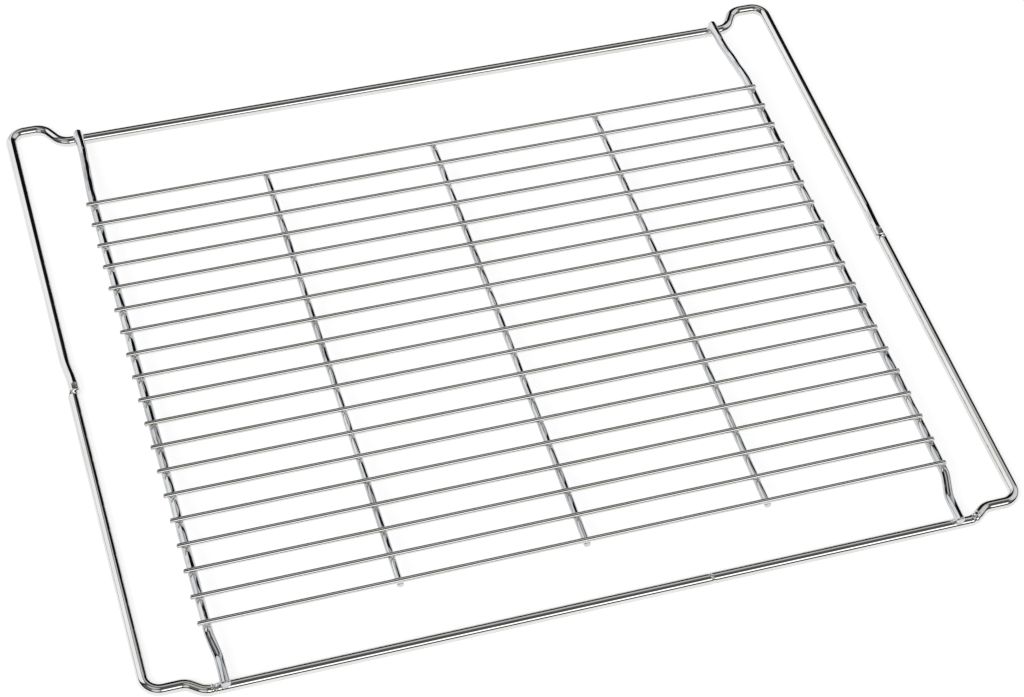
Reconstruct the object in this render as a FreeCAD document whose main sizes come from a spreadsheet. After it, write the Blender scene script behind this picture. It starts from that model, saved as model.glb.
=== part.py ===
import FreeCAD, Part
import math
import os

# Oven shelf rack of plated round wire, all welded. X runs across the rack, Y from front to back, Z up.
# The origin is on the surface that the frame wire rests on, at the middle of the rack's outline.

SIZES = {
    # Frame wire: one wire bent to a closed loop with a front bar, a back bar and two side rails
    "frame_wire": 6.0,        # diameter
    "frame_width": 455.0,     # over the outsides of the side rails
    "bar_spacing": 370.0,     # front bar's axis to back bar's axis
    "back_step": 13.0,        # the back corners stand this far behind the back bar
    "front_step": 6.0,        # the front corners stand this far behind the front bar
    "step_inset": 27.0,       # rail's axis to the bend where a bar starts to step
    "step_run": 8.0,          # length of the slanted step across the rack
    "step_bend": 9.0,         # radius of the two bends of a step, on the wire's axis
    "corner_bend": 8.0,       # radius of a corner, on the wire's axis
    # Stop kink at the middle of each side rail
    "kink_setback": 191.5,    # front bar's axis to the top of the kink
    "kink_rise": 1.6,
    "kink_inset": 1.2,        # towards the grid
    "kink_ramp": 22.0,        # gentle side, towards the back
    "kink_return": 6.0,       # steep side, towards the front
    "kink_bend": 4.0,
    # Cranked stringers that carry the grid on the two bars
    "stringer_wire": 5.0,
    "stringer_inset": 34.5,   # rail's axis to the stringer's axis under the grid
    "crank_rise": 4.0,        # the grid stands this far above the stringers' ends
    "crank_out": 2.0,         # and this far further out
    "crank_bend": 12.0,
    "front_lead": 13.5,       # level end from the front bar's axis to the crank
    "front_ramp": 11.0,
    "back_lead": 15.0,
    "back_ramp": 36.0,
    "front_tip": 2.5,         # stringer past the front bar's axis
    "back_tip": 2.0,          # stringer past the back bar's axis
    "stringer_chamfer": 1.2,
    # Straight stringers under the middle of the grid
    "middle_wire": 3.8,
    "middle_front_tip": 1.3,  # past the first cross wire's axis
    "middle_back_tip": 3.2,   # past the last cross wire's axis
    "middle_chamfer": 0.4,
    # Cross wires
    "cross_wire": 2.8,
    "cross_count": 19,
    "cross_pitch": 15.5,
    "cross_tip": 0.6,         # past the outer sides of the cranked stringers
    "cross_shift": 1.6,       # the cross wires are welded this far left of the middle
    "cross_chamfer": 0.3,
    "front_gap": 29.3,        # front bar's axis to the first cross wire's axis
    # Depth that one wire sinks into another when it is welded
    "bar_weld": 0.4,
    "cross_weld": 0.3,
}

# Places worked out from the sizes, as expressions for the document
FRONT_Y = "(-(Sizes.bar_spacing + Sizes.back_step) / 2)"
FRAME_Z = "(Sizes.frame_wire / 2)"
STRINGER_END_Z = f"({FRAME_Z} + (Sizes.frame_wire + Sizes.stringer_wire) / 2 - Sizes.bar_weld)"
STRINGER_Z = f"({STRINGER_END_Z} + Sizes.crank_rise)"
RAIL_X = "((Sizes.frame_width - Sizes.frame_wire) / 2)"
STRINGER_X = f"({RAIL_X} - Sizes.stringer_inset)"
CROSS_Z = f"({STRINGER_Z} + (Sizes.stringer_wire + Sizes.cross_wire) / 2 - Sizes.cross_weld)"
CROSS_HALF = f"({STRINGER_X} + Sizes.stringer_wire / 2 + Sizes.cross_tip)"
FIRST_CROSS_Y = f"({FRONT_Y} + Sizes.front_gap)"
GRID_LENGTH = "((Sizes.cross_count - 1) * Sizes.cross_pitch)"
MIDDLE_Z = f"({CROSS_Z} - (Sizes.cross_wire + Sizes.middle_wire) / 2 + Sizes.cross_weld)"

ALONG_X = FreeCAD.Rotation(FreeCAD.Vector(0, 1, 0), 90)
ALONG_Y = FreeCAD.Rotation(FreeCAD.Vector(1, 0, 0), -90)
VOLUME_TOLERANCE = 1e-3

doc = FreeCAD.newDocument("oven_shelf_rack")


def make_sheet():
    # One row for each size: its name and its value, with the name as alias
    sheet = doc.addObject("Spreadsheet::Sheet", "Sizes")
    for row, (name, value) in enumerate(SIZES.items(), start=1):
        sheet.set(f"A{row}", name)
        sheet.set(f"B{row}", str(value))
        sheet.setAlias(f"B{row}", name)
    doc.recompute()
    return sheet


sheet = make_sheet()


def size(name):
    return float(sheet.get(name))


def place(expression):
    # The value of one of the expressions above
    return float(sheet.evalExpression(expression))


def bind(obj, **expressions):
    # Bind properties to the sheet; x, y and z stand for the placement's base
    for name, expression in expressions.items():
        target = f".Placement.Base.{name}" if name in "xyz" else name
        obj.setExpression(target, expression)


def bent_wire(points, radii):
    # Straight runs through the points, with a tangent arc of the given radius at each inner point
    edges = []
    start = points[0]
    for before, corner, after, radius in zip(points, points[1:], points[2:], radii):
        back = (before - corner).normalize()
        ahead = (after - corner).normalize()
        half_turn = (math.pi - back.getAngle(ahead)) / 2
        tangent = radius * math.tan(half_turn)
        enter = corner + back * tangent
        leave = corner + ahead * tangent
        middle = corner + (back + ahead).normalize() * (radius / math.cos(half_turn) - radius)
        edges.append(Part.LineSegment(start, enter).toShape())
        edges.append(Part.Arc(enter, middle, leave).toShape())
        start = leave
    edges.append(Part.LineSegment(start, points[-1]).toShape())
    return Part.Wire(edges)


def swept_wire(name, path, section):
    # A round section carried along a bent path
    spine = doc.addObject("Part::Feature", f"{name}_path")
    spine.Shape = path
    sweep = doc.addObject("Part::Sweep", f"{name}_sweep")
    sweep.Sections = [section]
    sweep.Spine = (spine, [f"Edge{i + 1}" for i in range(len(path.Edges))])
    sweep.Solid = True
    doc.recompute()
    expected = math.pi * section.Radius.Value ** 2 * path.Length
    if abs(sweep.Shape.Volume / expected - 1) > VOLUME_TOLERANCE:
        raise RuntimeError(f"{name}: the swept volume is wrong")
    return sweep


def end_chamfer(name, base, chamfer, ends):
    # Bevel the rims of the cut ends, whose centres are given
    rims = []
    for index, edge in enumerate(base.Shape.Edges, start=1):
        is_rim = isinstance(edge.Curve, Part.Circle) and edge.isClosed()
        if is_rim and min(edge.Curve.Center.distanceToPoint(end) for end in ends) < chamfer:
            rims.append((index, chamfer, chamfer))
    bevel = doc.addObject("Part::Chamfer", f"{name}_bevel")
    bevel.Base = base
    bevel.Edges = rims
    doc.recompute()
    return bevel


def mirrored(name, source):
    mirror = doc.addObject("Part::Mirroring", name)
    mirror.Source = source
    mirror.Normal = FreeCAD.Vector(1, 0, 0)
    return mirror


def make_frame_loop():
    # The right half of the loop from front to back, joined to its mirror image in the two bars
    z = place(FRAME_Z)
    front = place(FRONT_Y)
    back = front + size("bar_spacing")
    rail = place(RAIL_X)
    step_in = rail - size("step_inset")
    step_out = step_in + size("step_run")
    kink = front + size("kink_setback")
    points = [
        FreeCAD.Vector(0, front, z),
        FreeCAD.Vector(step_in, front, z),
        FreeCAD.Vector(step_out, front + size("front_step"), z),
        FreeCAD.Vector(rail, front + size("front_step"), z),
        FreeCAD.Vector(rail, kink - size("kink_return"), z),
        FreeCAD.Vector(rail - size("kink_inset"), kink, z + size("kink_rise")),
        FreeCAD.Vector(rail, kink + size("kink_ramp"), z),
        FreeCAD.Vector(rail, back + size("back_step"), z),
        FreeCAD.Vector(step_out, back + size("back_step"), z),
        FreeCAD.Vector(step_in, back, z),
        FreeCAD.Vector(0, back, z),
    ]
    step = [size("step_bend")] * 2
    corner = [size("corner_bend")]
    kink_bends = [size("kink_bend")] * 3
    section = doc.addObject("Part::Circle", "frame_section")
    section.Placement.Rotation = ALONG_X
    bind(section, Radius="Sizes.frame_wire / 2", y=FRONT_Y, z=FRAME_Z)
    path = bent_wire(points, step + corner + kink_bends + corner + step)
    right_half = swept_wire("frame", path, section)
    loop = doc.addObject("Part::Fuse", "frame_loop")
    loop.Base = right_half
    loop.Tool = mirrored("frame_left_half", right_half)
    loop.Refine = True
    return loop


def make_cross_wire(number):
    # One straight wire of the grid, counted from the front
    name = f"cross_wire_{number:02d}"
    rod = doc.addObject("Part::Cylinder", f"{name}_rod")
    rod.Placement.Rotation = ALONG_X
    bind(rod, Radius="Sizes.cross_wire / 2", Height=f"2 * {CROSS_HALF}", x=f"-{CROSS_HALF} - Sizes.cross_shift",
         y=f"{FIRST_CROSS_Y} + {number - 1} * Sizes.cross_pitch", z=CROSS_Z)
    doc.recompute()
    start = rod.Placement.Base
    ends = [start, start + FreeCAD.Vector(rod.Height.Value, 0, 0)]
    return name, end_chamfer(name, rod, size("cross_chamfer"), ends)


def seated(name, wire, carriers):
    # Weld seats: the wire gives way where the wires welded to it sink in
    seat = doc.addObject("Part::Cut", name)
    seat.Base = wire
    seat.Tool = carriers
    return seat


def make_middle_stringer(name, column, cross_wires):
    # A straight wire under the grid
    rod = doc.addObject("Part::Cylinder", f"{name}_rod")
    rod.Placement.Rotation = ALONG_Y
    bind(rod, Radius="Sizes.middle_wire / 2",
         Height=f"Sizes.middle_front_tip + {GRID_LENGTH} + Sizes.middle_back_tip",
         x=f"{column} * {STRINGER_X} / 2", y=f"{FIRST_CROSS_Y} - Sizes.middle_front_tip", z=MIDDLE_Z)
    doc.recompute()
    start = rod.Placement.Base
    ends = [start, start + FreeCAD.Vector(0, rod.Height.Value, 0)]
    bevel = end_chamfer(name, rod, size("middle_chamfer"), ends)
    return seated(name, bevel, cross_wires)


def make_cranked_wire():
    # The right stringer: level ends on the two bars, with a crank up and out to the grid at each end
    front = place(FRONT_Y)
    back = front + size("bar_spacing")
    low = place(STRINGER_END_Z)
    high = place(STRINGER_Z)
    wide = place(STRINGER_X)
    narrow = wide - size("crank_out")
    front_bend = front + size("front_lead")
    back_bend = back - size("back_lead")
    points = [
        FreeCAD.Vector(narrow, front - size("front_tip"), low),
        FreeCAD.Vector(narrow, front_bend, low),
        FreeCAD.Vector(wide, front_bend + size("front_ramp"), high),
        FreeCAD.Vector(wide, back_bend - size("back_ramp"), high),
        FreeCAD.Vector(narrow, back_bend, low),
        FreeCAD.Vector(narrow, back + size("back_tip"), low),
    ]
    section = doc.addObject("Part::Circle", "stringer_section")
    section.Placement.Rotation = ALONG_Y
    bind(section, Radius="Sizes.stringer_wire / 2", x=f"{STRINGER_X} - Sizes.crank_out",
         y=f"{FRONT_Y} - Sizes.front_tip", z=STRINGER_END_Z)
    path = bent_wire(points, [size("crank_bend")] * 4)
    sweep = swept_wire("stringer", path, section)
    return end_chamfer("stringer", sweep, size("stringer_chamfer"), [points[0], points[-1]])


def group(name, members):
    compound = doc.addObject("Part::Compound", name)
    compound.Links = members
    return compound


def make_rack():
    # Every welded wire by its name
    pieces = {"frame_loop": make_frame_loop()}
    cross_wires = dict(make_cross_wire(number + 1) for number in range(int(size("cross_count"))))
    grid = group("grid", list(cross_wires.values()))
    for name, column in (("left_middle_stringer", -1), ("centre_stringer", 0), ("right_middle_stringer", 1)):
        pieces[name] = make_middle_stringer(name, column, grid)
    carriers = group("carriers", list(cross_wires.values()) + [pieces["frame_loop"]])
    cranked_wire = make_cranked_wire()
    pieces["right_stringer"] = seated("right_stringer", cranked_wire, carriers)
    pieces["left_stringer"] = seated("left_stringer", mirrored("left_cranked_wire", cranked_wire), carriers)
    pieces.update(cross_wires)
    return pieces


def check_document(pieces):
    # No failed object, and one valid solid for each wire
    for obj in doc.Objects:
        if "Invalid" in obj.State or "Error" in obj.State:
            raise RuntimeError(f"{obj.Name} failed: {obj.State}")
    for name, piece in pieces.items():
        shape = piece.Shape
        if shape.isNull() or not shape.isValid() or len(shape.Solids) != 1:
            raise RuntimeError(f"{name} is not one valid solid")


pieces = make_rack()
for name, piece in pieces.items():
    piece.Label = name
doc.recompute()
check_document(pieces)

os.makedirs("parts", exist_ok=True)
for name, piece in pieces.items():
    piece.Shape.exportStep(f"parts/{name}.step")
print(f"{len(pieces)} wires, {sum(piece.Shape.Volume for piece in pieces.values()) / 1000:.1f} cm3")
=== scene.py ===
import bpy
import math
import numpy as np
from mathutils import Matrix, Vector


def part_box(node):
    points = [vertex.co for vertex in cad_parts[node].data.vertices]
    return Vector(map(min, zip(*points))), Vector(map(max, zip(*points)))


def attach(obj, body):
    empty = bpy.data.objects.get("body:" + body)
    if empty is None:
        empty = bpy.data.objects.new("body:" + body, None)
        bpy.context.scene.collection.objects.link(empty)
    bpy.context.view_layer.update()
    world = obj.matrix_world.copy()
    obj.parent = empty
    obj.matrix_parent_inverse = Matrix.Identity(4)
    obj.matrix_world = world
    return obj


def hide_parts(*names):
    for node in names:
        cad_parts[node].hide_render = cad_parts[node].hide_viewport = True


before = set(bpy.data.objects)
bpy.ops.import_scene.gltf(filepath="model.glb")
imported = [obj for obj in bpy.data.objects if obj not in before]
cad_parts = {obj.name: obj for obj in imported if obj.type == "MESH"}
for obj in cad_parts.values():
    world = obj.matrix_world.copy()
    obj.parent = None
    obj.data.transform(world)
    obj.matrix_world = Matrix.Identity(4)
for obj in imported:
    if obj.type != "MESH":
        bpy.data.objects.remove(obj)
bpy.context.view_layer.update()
print("frame loaded:", len(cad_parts), "wires")


# Wire shapes

wireMesh = {
    "runStep": 0.02,  # longest step of a straight run, in metres
    "bendTurn": math.radians(4), "bendSteps": 3,  # turn per step of a bend, and fewest steps in one
    "endPoints": 9,  # points along a rounded end
}


def unitRows(v):
    # each row divided by its own length
    return v / np.linalg.norm(v, axis=-1, keepdims=True)


def straightRun(a, b, step):
    # even points from a up to, but not including, b
    count = max(int(np.ceil(np.linalg.norm(b - a) / step)), 1)
    return a + (b - a) * (np.arange(count) / count)[:, None]


def bentPath(points, radii):
    # straight runs between the points, with a tangent arc of the given radius at each inner point:
    # the arc's points turn from the incoming direction to the outgoing one about the bend's centre
    points = np.asarray(points, float)
    rows = []
    start = points[0]
    for before, corner, after, radius in zip(points, points[1:], points[2:], radii):
        back, ahead = unitRows(np.stack([before - corner, after - corner]))
        turn = math.pi - math.acos(float(np.clip(back @ ahead, -1, 1)))
        reach = radius * math.tan(turn / 2)
        enter = corner + back * reach
        centre = corner + unitRows(back + ahead) * radius / math.cos(turn / 2)
        spoke = enter - centre
        steps = max(int(turn / wireMesh["bendTurn"]), wireMesh["bendSteps"])
        angle = np.linspace(0, turn, steps + 1)[:-1, None]
        rows.append(straightRun(start, enter, wireMesh["runStep"]))
        rows.append(centre + spoke * np.cos(angle) - back * radius * np.sin(angle))
        start = corner + ahead * reach
    rows.append(straightRun(start, points[-1], wireMesh["runStep"]))
    return np.concatenate(rows + [points[-1:]])


def refined(path, marked, step):
    # the straight runs that start at a marked point are cut into short steps
    length = np.linalg.norm(np.roll(path, -1, 0) - path, axis=1)
    parts = np.where(marked, np.maximum(np.ceil(length / step), 1), 1).astype(int)
    index = np.repeat(np.arange(len(path)), parts)
    share = (np.arange(parts.sum()) - np.repeat(np.cumsum(parts) - parts, parts)) / parts[index]
    return path[index] + (np.roll(path, -1, 0) - path)[index] * share[:, None]


def pathFrames(path, closed):
    # tangent by central difference, then a level side vector and an upward one square to both
    if closed:
        ahead = np.roll(path, -1, 0) - np.roll(path, 1, 0)
    else:
        ahead = np.gradient(path, axis=0)
    tangent = unitRows(ahead)
    side = unitRows(np.cross(tangent, (0.0, 0.0, 1.0)))
    return side, np.cross(side, tangent)


def addMesh(name, verts, faces, loopUv=None):
    # whole arrays of points and faces become a smooth mesh, with a map where one is given
    mesh = bpy.data.meshes.new(name)
    mesh.from_pydata(verts.tolist(), [], faces)
    if loopUv is not None:
        layer = mesh.uv_layers.new(name="alongWire")
        layer.data.foreach_set("uv", loopUv.astype(np.float32).ravel())
    mesh.polygons.foreach_set("use_smooth", np.ones(len(mesh.polygons), bool))
    mesh.update()
    piece = bpy.data.objects.new(name, mesh)
    bpy.context.collection.objects.link(piece)
    return piece


def wireTube(name, path, radius, sides, closed=False, shift=0.0):
    # a circle carried along the path: point + shift + radius * (cos a * side + sin a * up)
    # for each angle a; the map runs in metres along the wire and from 0 to 1 around it
    radius = np.asarray(radius).reshape(len(path), -1, 1)
    side, up = pathFrames(path, closed)
    angle = np.arange(sides) * (2 * math.pi / sides)
    ring = np.cos(angle)[None, :, None] * side[:, None] + np.sin(angle)[None, :, None] * up[:, None]
    verts = ((path + shift)[:, None] + radius * ring).reshape(-1, 3)
    count = len(path)
    spans = count if closed else count - 1
    i, j = np.meshgrid(np.arange(spans), np.arange(sides), indexing="ij")
    nextI = (i + 1) % count
    nextJ = (j + 1) % sides
    quads = np.stack([i * sides + j, nextI * sides + j, nextI * sides + nextJ, i * sides + nextJ], -1)
    step = np.linalg.norm(np.roll(path, -1, 0) - path, axis=1)[:spans]
    along = np.concatenate([[0], np.cumsum(step)])
    u, nextU = along[i], along[i + 1]
    v, nextV = j / sides, (j + 1) / sides
    uv = np.stack([u, v, nextU, v, nextU, nextV, u, nextV], -1)
    faces = quads.reshape(-1, 4).tolist()
    loops = [uv.reshape(-1, 2)]
    if not closed:
        # flat end discs: each rim is one face, turned outwards
        rim = np.arange(sides)
        faces += np.stack([rim, (count - 1) * sides + rim[::-1]]).tolist()
        loops += [np.zeros((sides, 2)), np.tile([along[-1], 0.0], (sides, 1))]
    return addMesh(name, verts, faces, np.concatenate(loops))


def roundedEnds(path, radius, firstBevel, lastBevel):
    # extra points close to both ends, where the radius follows a quarter circle of the bevel's size
    quarter = np.linspace(0, math.pi / 2, wireMesh["endPoints"])[:, None]
    inset = 1 - np.cos(quarter)
    shrink = 1 - np.sin(quarter)
    first = path[0] + unitRows(path[1] - path[0]) * firstBevel * inset
    last = path[-1] + unitRows(path[-2] - path[-1]) * lastBevel * inset[::-1]
    radii = np.concatenate([radius - firstBevel * shrink, np.full((len(path) - 2, 1), radius),
                            radius - lastBevel * shrink[::-1]])
    return np.concatenate([first, path[1:-1], last]), radii


def finishPiece(piece, material, *nodes):
    # the piece stands for its wires and rides with the rack
    piece.data.materials.append(material)
    if nodes:
        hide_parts(*nodes)
    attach(piece, "root")


# Plating finish, shared by every wire

plateDetail = {
    "cloudScale": 26.0, "cloudDetail": 4.0, "cloudEdges": (0.42, 0.68),
    "drawnScale": (40.0, 26.0, 1.0), "drawnDetail": 3.0,  # lines per metre along, and per turn around
    "rippleDetail": 1.0,
}


def platingGroup(s):
    # cloudy tint and a slow ripple of the plate, and fine lines of lower gloss left by drawing the wire
    group = bpy.data.node_groups.new("brightPlating", "ShaderNodeTree")
    for name, kind in (("Plate", "NodeSocketColor"), ("Tint", "NodeSocketColor"),
                       ("Haze", "NodeSocketFloat"), ("Ripples", "NodeSocketFloat")):
        group.interface.new_socket(name, in_out="INPUT", socket_type=kind)
    for name, kind in (("Color", "NodeSocketColor"), ("Roughness", "NodeSocketFloat"),
                       ("Height", "NodeSocketFloat")):
        group.interface.new_socket(name, in_out="OUTPUT", socket_type=kind)
    nodes, links = group.nodes, group.links
    entry = nodes.new("NodeGroupInput")
    leave = nodes.new("NodeGroupOutput")
    place = nodes.new("ShaderNodeTexCoord")
    along = nodes.new("ShaderNodeUVMap")
    along.uv_map = "alongWire"

    cloud = nodes.new("ShaderNodeTexNoise")
    cloud.inputs["Scale"].default_value = s["cloudScale"]
    cloud.inputs["Detail"].default_value = s["cloudDetail"]
    links.new(place.outputs["Object"], cloud.inputs["Vector"])
    tintMask = nodes.new("ShaderNodeMapRange")
    tintMask.inputs["From Min"].default_value = s["cloudEdges"][0]
    tintMask.inputs["From Max"].default_value = s["cloudEdges"][1]
    links.new(cloud.outputs["Fac"], tintMask.inputs["Value"])
    blend = nodes.new("ShaderNodeMix")
    blend.data_type = "RGBA"
    links.new(tintMask.outputs["Result"], blend.inputs["Factor"])
    links.new(entry.outputs["Plate"], blend.inputs["A"])
    links.new(entry.outputs["Tint"], blend.inputs["B"])
    links.new(blend.outputs["Result"], leave.inputs["Color"])

    stretch = nodes.new("ShaderNodeMapping")
    stretch.inputs["Scale"].default_value = s["drawnScale"]
    links.new(along.outputs["UV"], stretch.inputs["Vector"])
    drawn = nodes.new("ShaderNodeTexNoise")
    drawn.inputs["Scale"].default_value = 1.0  # the mapping above gives the scale
    drawn.inputs["Detail"].default_value = s["drawnDetail"]
    links.new(stretch.outputs["Vector"], drawn.inputs["Vector"])
    hazeSpan = nodes.new("ShaderNodeMath")
    hazeSpan.operation = "MULTIPLY"
    links.new(drawn.outputs["Fac"], hazeSpan.inputs[0])
    links.new(entry.outputs["Haze"], hazeSpan.inputs[1])
    links.new(hazeSpan.outputs[0], leave.inputs["Roughness"])

    ripple = nodes.new("ShaderNodeTexNoise")
    ripple.inputs["Detail"].default_value = s["rippleDetail"]
    links.new(place.outputs["Object"], ripple.inputs["Vector"])
    links.new(entry.outputs["Ripples"], ripple.inputs["Scale"])
    links.new(ripple.outputs["Fac"], leave.inputs["Height"])
    return group


plating = platingGroup(plateDetail)

# colours of the clean and the clouded plate, roughness of the haze,
# ripples per metre and their height in metres
framePlate = {"plate": (0.77, 0.77, 0.765), "tint": (0.71, 0.70, 0.68), "haze": 0.05,
              "ripples": 45, "rippleHeight": 0.0001}
# the stringers' plate and tint are a darker copy of the same chrome as the other wires: painted shade
# for the darker look of the stringers
stringerPlate = {"plate": (0.69, 0.695, 0.705), "tint": (0.5, 0.505, 0.52), "haze": 0.06,
                 "ripples": 45, "rippleHeight": 0.004}
gridPlate = {"plate": (0.8, 0.8, 0.795), "tint": (0.72, 0.72, 0.7), "haze": 0.05,
             "ripples": 60, "rippleHeight": 0.0001}
weldPlate = {"plate": (0.7, 0.7, 0.7), "tint": (0.55, 0.54, 0.53), "haze": 0.35,
             "ripples": 400, "rippleHeight": 0.0002}


def platedMetal(name, s):
    # mirror-bright metal whose colour, gloss and ripple come from the plating group
    material = bpy.data.materials.new(name)
    material.use_nodes = True
    nodes, links = material.node_tree.nodes, material.node_tree.links
    shader = nodes["Principled BSDF"]
    shader.inputs["Metallic"].default_value = 1.0
    finish = nodes.new("ShaderNodeGroup")
    finish.node_tree = plating
    finish.inputs["Plate"].default_value = (*s["plate"], 1)
    finish.inputs["Tint"].default_value = (*s["tint"], 1)
    finish.inputs["Haze"].default_value = s["haze"]
    finish.inputs["Ripples"].default_value = s["ripples"]
    bump = nodes.new("ShaderNodeBump")
    bump.inputs["Strength"].default_value = 1.0
    bump.inputs["Distance"].default_value = s["rippleHeight"]
    links.new(finish.outputs["Color"], shader.inputs["Base Color"])
    links.new(finish.outputs["Roughness"], shader.inputs["Roughness"])
    links.new(finish.outputs["Height"], bump.inputs["Height"])
    links.new(bump.outputs["Normal"], shader.inputs["Normal"])
    return material


frameFinish = platedMetal("framePlate", framePlate)
shadedStringerFinish = platedMetal("stringerPlate", stringerPlate)
gridFinish = platedMetal("gridPlate", gridPlate)
weldFinish = platedMetal("weldPlate", weldPlate)
print("finishes made")


# Frame wire, with its sizes in metres

frameWire = {
    "diameter": 0.006, "sides": 48,
    "backStep": 0.013, "frontStep": 0.006, "stepInset": 0.027, "stepRun": 0.008,
    "stepBend": 0.009, "cornerBend": 0.008,
    "kinkSetback": 0.1915, "kinkRise": 0.0016, "kinkInset": 0.0012, "kinkRamp": 0.02,
    "kinkCrest": 0.004, "kinkCrestFall": 0.04, "kinkReturn": 0.0019,
    "kinkFlat": 0.87, "kinkFlatEdge": 0.0006,  # share of the radius left on top, and its soft edge
    "kinkStep": 0.0002, "kinkMargin": 0.02,  # close points, from this far outside the ramp
    "seamX": 0.0557, "seamDepth": 0.00024, "seamWidth": 0.0005, "seamSlant": 0.3, "seamReach": 0.003,
    "gripX": (-0.1927, 0.1972), "gripDepth": 0.0004, "gripPitch": 0.0026, "gripWidth": 0.0024,
    "gripReach": 0.008, "fineStep": 0.00015,
}


def kinkShape(y, s):
    # 0 to 1 along a rail, from the back: half a cosine wave up, a crest that falls a little,
    # then a steep half wave down
    rise = (1 - np.cos(math.pi * np.clip(1 - (y - s["kinkCrest"]) / s["kinkRamp"], 0, 1))) / 2
    crest = 1 - s["kinkCrestFall"] * (1 - y / s["kinkCrest"])
    drop = (1 - s["kinkCrestFall"]) * (1 - np.cos(math.pi * np.clip(1 + y / s["kinkReturn"], 0, 1))) / 2
    return np.select([y > s["kinkCrest"], y > 0], [rise, crest], drop)


def makeFrameLoop(s):
    # the right half's bends and their mirror image, from the weld seam in the front bar all round;
    # the seam is a shallow slanted neck, depth * exp(-((distance - slant * across) / width) ** 2);
    # the marks of the bending tool are depth * cos(pi * distance / pitch) ** 2 under a bell curve,
    # deepest on top of the wire; each ring of a rail is lifted and moved inwards by the kink's shape;
    # the kink's crest is pressed flat: no point there stands higher above the axis
    # than the flat's share of the radius
    low, high = (np.array(c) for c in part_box("frame_loop"))
    radius = s["diameter"] / 2
    front = low[1] + radius
    back = high[1] - radius - s["backStep"]
    rail = high[0] - radius
    stepIn = rail - s["stepInset"]
    stepOut = stepIn + s["stepRun"]
    kink = front + s["kinkSetback"]
    z = low[2] + radius
    half = np.array([
        (stepIn, front, z), (stepOut, front + s["frontStep"], z), (rail, front + s["frontStep"], z),
        (rail, back + s["backStep"], z), (stepOut, back + s["backStep"], z), (stepIn, back, z)])
    bends = [s["stepBend"]] * 2 + [s["cornerBend"]] * 2 + [s["stepBend"]] * 2
    seam = np.array([s["seamX"], front, z])
    near = np.array([s["seamReach"], 0, 0])
    path = bentPath([seam + near, *half, *half[::-1] * (-1, 1, 1), seam - near], bends * 2)
    path = np.concatenate([path[:-1], straightRun(seam - near, seam + near, s["fineStep"])])
    path = refined(path, np.abs(path[:, 1] - kink) < s["kinkRamp"] + s["kinkMargin"], s["kinkStep"])
    onFrontBar = path[:, 1] < front + radius
    fromGrips = path[:, :1] - s["gripX"]
    path = refined(path, onFrontBar & (np.abs(fromGrips).min(1) < s["gripReach"]), s["fineStep"])
    onFrontBar = path[:, 1:2] < front + radius
    fromGrips = path[:, :1] - s["gripX"]

    angle = np.arange(s["sides"]) * (2 * math.pi / s["sides"])
    fromSeam = path[:, :1] - seam[0] - s["seamSlant"] * radius * np.cos(angle)
    neck = s["seamDepth"] * np.exp(-(fromSeam / s["seamWidth"]) ** 2)
    bell = np.exp(-(fromGrips / s["gripWidth"]) ** 2)
    ridges = np.cos(math.pi * fromGrips / s["gripPitch"]) ** 2 * bell
    marks = s["gripDepth"] * ridges.sum(1, keepdims=True) * (1 + np.sin(angle)) / 2
    fromCrest = np.abs(path[:, 1:2] - kink - s["kinkCrest"] / 2) - s["kinkCrest"] / 2
    pressed = np.clip(-fromCrest / s["kinkFlatEdge"], 0, 1)
    flat = radius * pressed * np.maximum(1 - s["kinkFlat"] / np.maximum(np.sin(angle), s["kinkFlat"]), 0)
    kinked = kinkShape(path[:, 1] - kink, s)
    inwards = -np.sign(path[:, 0]) * s["kinkInset"]
    shift = np.stack([kinked * inwards, 0 * kinked, kinked * s["kinkRise"]], 1)
    radii = radius - (neck + marks) * onFrontBar - flat
    return wireTube("frameLoop", path, radii, s["sides"], closed=True, shift=shift)


finishPiece(makeFrameLoop(frameWire), frameFinish, "frame_loop")
print("frame wire made")


# Cranked stringers, with their sizes in metres

crankedStringer = {
    "diameter": 0.005, "crankRise": 0.004, "crankOut": 0.002, "bend": 0.012,
    "frontTip": 0.0025, "backTip": 0.002,
    "frontLead": 0.0135, "frontRamp": 0.011, "backLead": 0.015, "backRamp": 0.036,
    "frontBevel": 0.001, "backBevel": 0.0018, "sides": 40,
}


def makeCrankedStringer(node, side, s):
    # level ends on the bars and a slanted crank up to the grid at each end, mirrored for the left side
    low, high = (np.array(c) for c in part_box(node))
    radius = s["diameter"] / 2
    wide = max(abs(low[0]), abs(high[0])) - radius
    narrow = wide - s["crankOut"]
    up = high[2] - radius
    down = up - s["crankRise"]
    frontBend = low[1] + s["frontTip"] + s["frontLead"]
    backBend = high[1] - s["backTip"] - s["backLead"]
    points = np.array([
        (narrow, low[1], down), (narrow, frontBend, down), (wide, frontBend + s["frontRamp"], up),
        (wide, backBend - s["backRamp"], up), (narrow, backBend, down), (narrow, high[1], down)])
    path = bentPath(points * (side, 1, 1), [s["bend"]] * (len(points) - 2))
    path, radii = roundedEnds(path, radius, s["frontBevel"], s["backBevel"])
    return wireTube(node.split("_")[0] + "Stringer", path, radii, s["sides"])


crankedSides = {"left_stringer": -1, "right_stringer": 1}
for node, side in crankedSides.items():
    finishPiece(makeCrankedStringer(node, side, crankedStringer), shadedStringerFinish, node)
print("cranked stringers made")


# Straight wires of the grid, whose sizes come from their boxes

straightWire = {"middleBevel": 0.0009, "crossBevel": 0.0006, "sides": 28, "step": 0.01}


def makeStraightWire(name, node, axis, bevel, s):
    # the wire's axis runs down the middle of its box, along X (0) or Y (1)
    low, high = (np.array(c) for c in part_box(node))
    centre = (low + high) / 2
    radius = (high[2] - low[2]) / 2
    a, b = centre.copy(), centre.copy()
    a[axis], b[axis] = low[axis], high[axis]
    path = np.concatenate([straightRun(a, b, s["step"]), b[None]])
    path, radii = roundedEnds(path, radius, bevel, bevel)
    return wireTube(name, path, radii, s["sides"])


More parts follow.
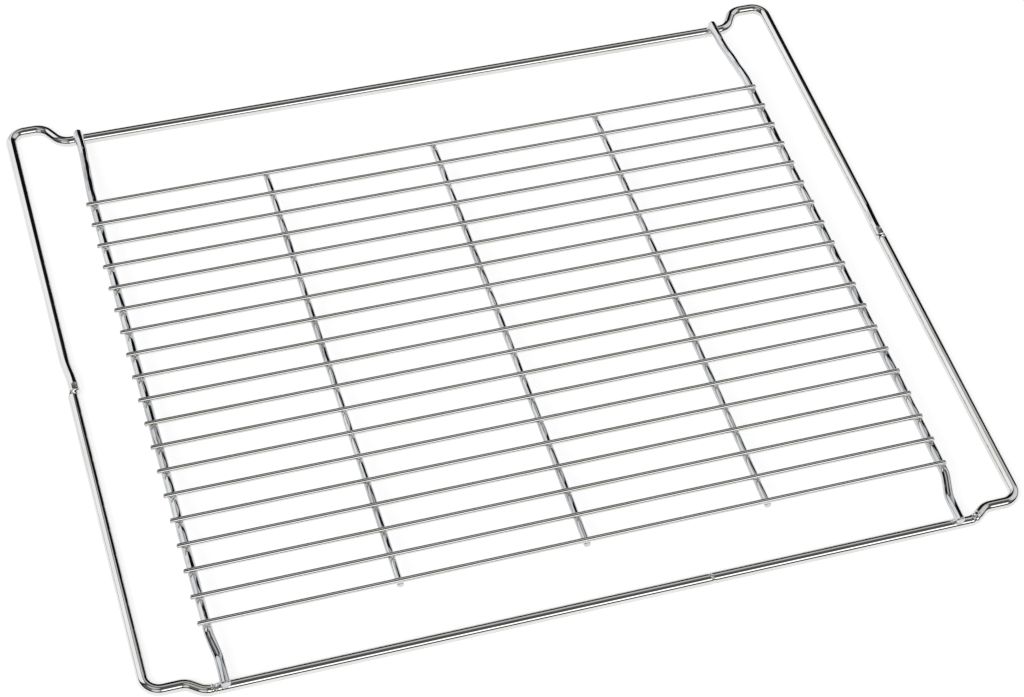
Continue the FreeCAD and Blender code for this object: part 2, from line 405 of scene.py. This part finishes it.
middleNodes = ("left_middle_stringer", "centre_stringer", "right_middle_stringer")
for node, name in zip(middleNodes, ("leftMiddleStringer", "centreStringer", "rightMiddleStringer")):
    wire = makeStraightWire(name, node, 1, straightWire["middleBevel"], straightWire)
    finishPiece(wire, shadedStringerFinish, node)
crossNodes = sorted(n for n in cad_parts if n.startswith("cross_wire"))
for node in crossNodes:
    name = "crossWire" + node.split("_")[-1]
    wire = makeStraightWire(name, node, 0, straightWire["crossBevel"], straightWire)
    finishPiece(wire, gridFinish, node)
print("grid made:", len(crossNodes), "cross wires")


# Weld beads

weldBead = {
    "across": 0.0013, "tall": 0.0008, "around": 14, "rings": 8,
    "swing": 0.12, "swingPace": 2.4, "swingDrift": 90,  # share, radians per crossing and per metre of X
    "seatRadii": (0.0031, 0.0026, 0.0012), "seatSink": 0.0003,
}


def makeBeads(name, centres, radii, s):
    # an ellipsoid at each centre: centre + (a cos u sin v, b sin u sin v, c cos v)
    u = np.arange(s["around"]) * (2 * math.pi / s["around"])
    v = np.linspace(0, math.pi, s["rings"] + 1)[1:-1]
    ball = np.stack([np.outer(np.sin(v), np.cos(u)), np.outer(np.sin(v), np.sin(u)),
                     np.repeat(np.cos(v)[:, None], len(u), 1)], -1).reshape(-1, 3)
    ball = np.concatenate([[[0, 0, 1.0]], ball, [[0, 0, -1.0]]])
    verts = (centres[:, None] + radii[:, None] * ball[None]).reshape(-1, 3)
    n, rows = s["around"], s["rings"] - 1
    i, j = np.meshgrid(np.arange(rows - 1), np.arange(n), indexing="ij")
    k = (j + 1) % n
    quads = (1 + np.stack([i * n + j, (i + 1) * n + j, (i + 1) * n + k, i * n + k], -1)).reshape(-1, 4)
    j = np.arange(n)
    top = np.stack([np.zeros(n, int), 1 + j, 1 + (j + 1) % n], -1)
    foot = 1 + (rows - 1) * n
    bottom = np.stack([np.full(n, foot + n), foot + (j + 1) % n, foot + j], -1)
    shift = (np.arange(len(centres)) * len(ball))[:, None, None]
    ends = np.concatenate([top, bottom])
    faces = (quads + shift).reshape(-1, 4).tolist() + (ends + shift).reshape(-1, 3).tolist()
    return addMesh(name, verts, faces)


def crossingCentres(node, radius):
    # where each cross wire lies on a stringer: over the stringer's axis, which runs a radius inside
    # the outermost edge of its box, and at the height of the cross wires' undersides
    low, high = (np.array(c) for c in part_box(node))
    boxes = np.array([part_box(n) for n in crossNodes])
    y = boxes[:, :, 1].mean(1)
    x = np.full(len(y), math.copysign(max(abs(low[0]), abs(high[0])) - radius, low[0] + high[0]))
    z = np.full(len(y), boxes[0, 0, 2])
    return np.stack([x, y, z], 1)


def makeWelds(node, radius, s):
    # beads that grow and shrink from crossing to crossing: 1 + swing * sin(pace * number + drift * x)
    centres = crossingCentres(node, radius)
    number = np.arange(len(centres))
    wobble = 1 + s["swing"] * np.sin(number * s["swingPace"] + centres[:, 0] * s["swingDrift"])
    radii = np.stack([s["across"] * wobble, s["across"] * wobble[::-1], s["tall"] * wobble], 1)
    return makeBeads(node.replace("_stringer", "") + "Welds", centres, radii, s)


def makeSeatWelds(s):
    # one flat bead where each end of a cranked stringer crosses a bar, sunk a little below the bar's top
    low, high = (np.array(c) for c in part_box("frame_loop"))
    radius = frameWire["diameter"] / 2
    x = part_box("right_stringer")[1][0] - crankedStringer["diameter"] / 2 - crankedStringer["crankOut"]
    bars = (low[1] + radius, high[1] - radius - frameWire["backStep"])
    top = low[2] + frameWire["diameter"] - s["seatSink"]
    centres = np.array([(side * x, y, top) for side in (-1, 1) for y in bars])
    return makeBeads("barWelds", centres, np.tile(s["seatRadii"], (len(centres), 1)), s)


for node in middleNodes:
    low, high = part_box(node)
    finishPiece(makeWelds(node, (high[0] - low[0]) / 2, weldBead), weldFinish)
for node in crankedSides:
    finishPiece(makeWelds(node, crankedStringer["diameter"] / 2, weldBead), weldFinish)
finishPiece(makeSeatWelds(weldBead), weldFinish)
print("weld beads made")


# Floor, light and camera

frontWhite = (1.9, 1.88, 1.85)  # colour of the three bright screens side by side in front

studio = {
    "floorSize": 12.0, "floorGlow": 0.8, "floorColor": (0.3, 0.3, 0.3), "floorRoughness": 0.9,
    "lampSize": 1.2, "lampPlace": (-1.3, -1.5, 1.6), "lampPower": 44,
    # pairs of height (sine of the elevation) and brightness
    "backStops": ((0.0, 1.0), (0.052, 1.0), (0.062, 0.006), (0.7, 0.006), (0.82, 0.1), (1.0, 0.08)),
    "frontStops": ((0.0, 1.0), (0.052, 1.0), (0.062, 0.006), (0.35, 0.006), (0.47, 0.2), (0.82, 0.1)),
    "backBlend": (-0.1, 0.1),  # Y of the direction, from all front to all back
    # azimuth right of the back, elevation, inner and outer radius in degrees, colour
    "screens": ((-38, 33, 27, 32, (1.07, 1.09, 1.1)),
                (-15, 20, 13, 18, (0.7, 0.71, 0.72)),
                (-105, 72, 12, 17, (0.6, 0.6, 0.61)),
                (56, 50, 8, 14, (0.8, 0.8, 0.8)),
                (85, 38, 18, 26, (0.8, 0.81, 0.82)),
                (28, 62, 12, 16, (0.62, 0.62, 0.61)),
                (174, 37, 9.5, 12, frontWhite),
                (164, 37, 9.5, 12, frontWhite),
                (154, 37, 9.5, 12, frontWhite),
                (-150, 36, 14.5, 18, (0.85, 0.85, 0.85))),
}


def makeFloor(s):
    # pale sheet; the glow whitens what the lens and the metal see, and leaves the shadows
    h = s["floorSize"] / 2
    floor = addMesh("floor", np.array([(-h, -h, 0), (h, -h, 0), (h, h, 0), (-h, h, 0)]), [(0, 1, 2, 3)])
    material = bpy.data.materials.new("paleFloor")
    material.use_nodes = True
    nodes, links = material.node_tree.nodes, material.node_tree.links
    shader = nodes["Principled BSDF"]
    shader.inputs["Base Color"].default_value = (*s["floorColor"], 1)
    shader.inputs["Roughness"].default_value = s["floorRoughness"]
    shader.inputs["Specular IOR Level"].default_value = 0.0
    shader.inputs["Emission Color"].default_value = (1, 1, 1, 1)
    path = nodes.new("ShaderNodeLightPath")
    seen = nodes.new("ShaderNodeMath")
    seen.operation = "MAXIMUM"
    links.new(path.outputs["Is Camera Ray"], seen.inputs[0])
    links.new(path.outputs["Is Glossy Ray"], seen.inputs[1])
    seenAll = nodes.new("ShaderNodeMath")
    seenAll.operation = "MAXIMUM"
    links.new(seen.outputs[0], seenAll.inputs[0])
    links.new(path.outputs["Is Transmission Ray"], seenAll.inputs[1])
    glow = nodes.new("ShaderNodeMath")
    glow.operation = "MULTIPLY"
    links.new(seenAll.outputs[0], glow.inputs[0])
    glow.inputs[1].default_value = s["floorGlow"]
    links.new(glow.outputs[0], shader.inputs["Emission Strength"])
    floor.data.materials.append(material)


def makeStudioWorld(s):
    # dim room with a pale horizon: one brightness by height for the back and one for the front,
    # and pale screens, each a soft-edged disc around its direction
    world = bpy.data.worlds.new("studio")
    bpy.context.scene.world = world
    world.use_nodes = True
    nodes, links = world.node_tree.nodes, world.node_tree.links
    place = nodes.new("ShaderNodeTexCoord")
    split = nodes.new("ShaderNodeSeparateXYZ")
    links.new(place.outputs["Generated"], split.inputs[0])

    def heightRamp(stops):
        # brightness by height, in straight lines from stop to stop
        ramp = nodes.new("ShaderNodeValToRGB")
        links.new(split.outputs["Z"], ramp.inputs["Fac"])
        elements = ramp.color_ramp.elements
        while len(elements) < len(stops):
            elements.new(0.5)  # put in its place below
        for element, (height, value) in zip(elements, stops):
            element.position = height
            element.color = (value, value, value, 1)
        return ramp.outputs["Color"]

    def blend(mask, a, b):
        # a where the mask is 0, b where it is 1
        mix = nodes.new("ShaderNodeMix")
        mix.data_type = "RGBA"
        links.new(mask, mix.inputs["Factor"])
        links.new(a, mix.inputs["A"])
        if isinstance(b, tuple):
            mix.inputs["B"].default_value = (*b, 1)
        else:
            links.new(b, mix.inputs["B"])
        return mix.outputs["Result"]

    def softStep(value, low, high):
        # 0 up to low, 1 from high on, an S curve between
        step = nodes.new("ShaderNodeMapRange")
        step.interpolation_type = "SMOOTHSTEP"
        step.inputs["From Min"].default_value = low
        step.inputs["From Max"].default_value = high
        links.new(value, step.inputs["Value"])
        return step.outputs["Result"]

    def screen(azimuth, elevation, inner, outer):
        # 1 within the inner radius, 0 beyond the outer, by the cosine of the angle from its middle
        a, e = math.radians(azimuth), math.radians(elevation)
        dot = nodes.new("ShaderNodeVectorMath")
        dot.operation = "DOT_PRODUCT"
        links.new(place.outputs["Generated"], dot.inputs[0])
        dot.inputs[1].default_value = (math.sin(a) * math.cos(e), math.cos(a) * math.cos(e), math.sin(e))
        edges = (math.cos(math.radians(outer)), math.cos(math.radians(inner)))
        return softStep(dot.outputs["Value"], *edges)

    towardsBack = softStep(split.outputs["Y"], *s["backBlend"])
    room = blend(towardsBack, heightRamp(s["frontStops"]), heightRamp(s["backStops"]))
    for azimuth, elevation, inner, outer, color in s["screens"]:
        room = blend(screen(azimuth, elevation, inner, outer), room, color)
    links.new(room, nodes["Background"].inputs["Color"])


def makeLamp(s):
    # square soft lamp that faces the middle of the rack
    data = bpy.data.lights.new("frontSoftbox", "AREA")
    data.size = s["lampSize"]
    data.energy = s["lampPower"]
    lamp = bpy.data.objects.new("frontSoftbox", data)
    lamp.location = s["lampPlace"]
    lamp.rotation_euler = Vector(s["lampPlace"]).to_track_quat("Z", "Y").to_euler()
    lamp.visible_glossy = False  # the wires show the room's screens instead
    bpy.context.collection.objects.link(lamp)


makeFloor(studio)
makeStudioWorld(studio)
makeLamp(studio)

cameraView = {
    "azimuth": -20.47, "elevation": 50.02, "roll": -4.79, "distance": 1.3312,
    "target": (-0.0006, -0.0361, 0.0157), "lens": 89.98, "sensorWidth": 36.0, "clipEnd": 50.0,
}


def makeCamera(s):
    # the lens stands on a sphere about the target and is turned about its own axis by the roll
    a, e, r = (math.radians(s[k]) for k in ("azimuth", "elevation", "roll"))
    back = Vector((math.sin(a) * math.cos(e), -math.cos(a) * math.cos(e), math.sin(e)))
    right = Vector((math.cos(a), math.sin(a), 0))
    up = back.cross(right)
    rolledRight = right * math.cos(r) - up * math.sin(r)
    rolledUp = right * math.sin(r) + up * math.cos(r)
    data = bpy.data.cameras.new("photoCamera")
    data.lens = s["lens"]
    data.sensor_width = s["sensorWidth"]
    data.clip_end = s["clipEnd"]
    camera = bpy.data.objects.new("photoCamera", data)
    turn = Matrix((rolledRight, rolledUp, back)).transposed().to_4x4()
    camera.matrix_world = Matrix.Translation(Vector(s["target"]) + back * s["distance"]) @ turn
    bpy.context.collection.objects.link(camera)
    bpy.context.scene.camera = camera


makeCamera(cameraView)
bpy.context.scene.view_settings.view_transform = "Standard"
print("studio set")
